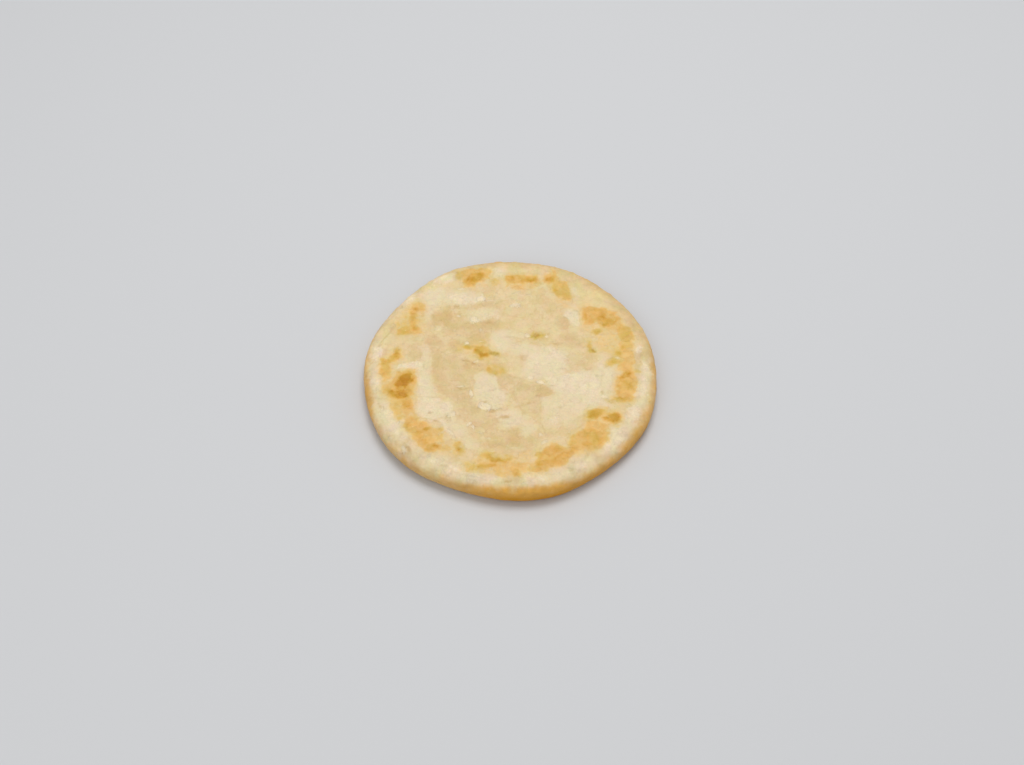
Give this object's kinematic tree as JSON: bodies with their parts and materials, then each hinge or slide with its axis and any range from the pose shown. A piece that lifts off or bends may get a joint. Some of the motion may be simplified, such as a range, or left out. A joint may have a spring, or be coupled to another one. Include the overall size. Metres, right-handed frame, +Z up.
{
  "type": "paratha",
  "caption": "Thick round griddle-baked paratha, a layered flatbread with a rounded rim and a golden toasted ring, lying flat as one solid piece.",
  "frame": {"origin": "on the surface the bread lies on, under the middle of its box", "axes": "+Z up out of the flat underside through the thickness, -Y towards the viewer of the picture, +X to the viewer's right"},
  "size_m": [0.15, 0.1502, 0.0125],
  "materials": {
    "paratha_crust": "pale cream baked dough with golden brown toasted marks, softly matte with a slight oily sheen"
  },
  "bodies": {
    "root": {"paratha": "paratha_crust"}
  },
  "joints": []
}
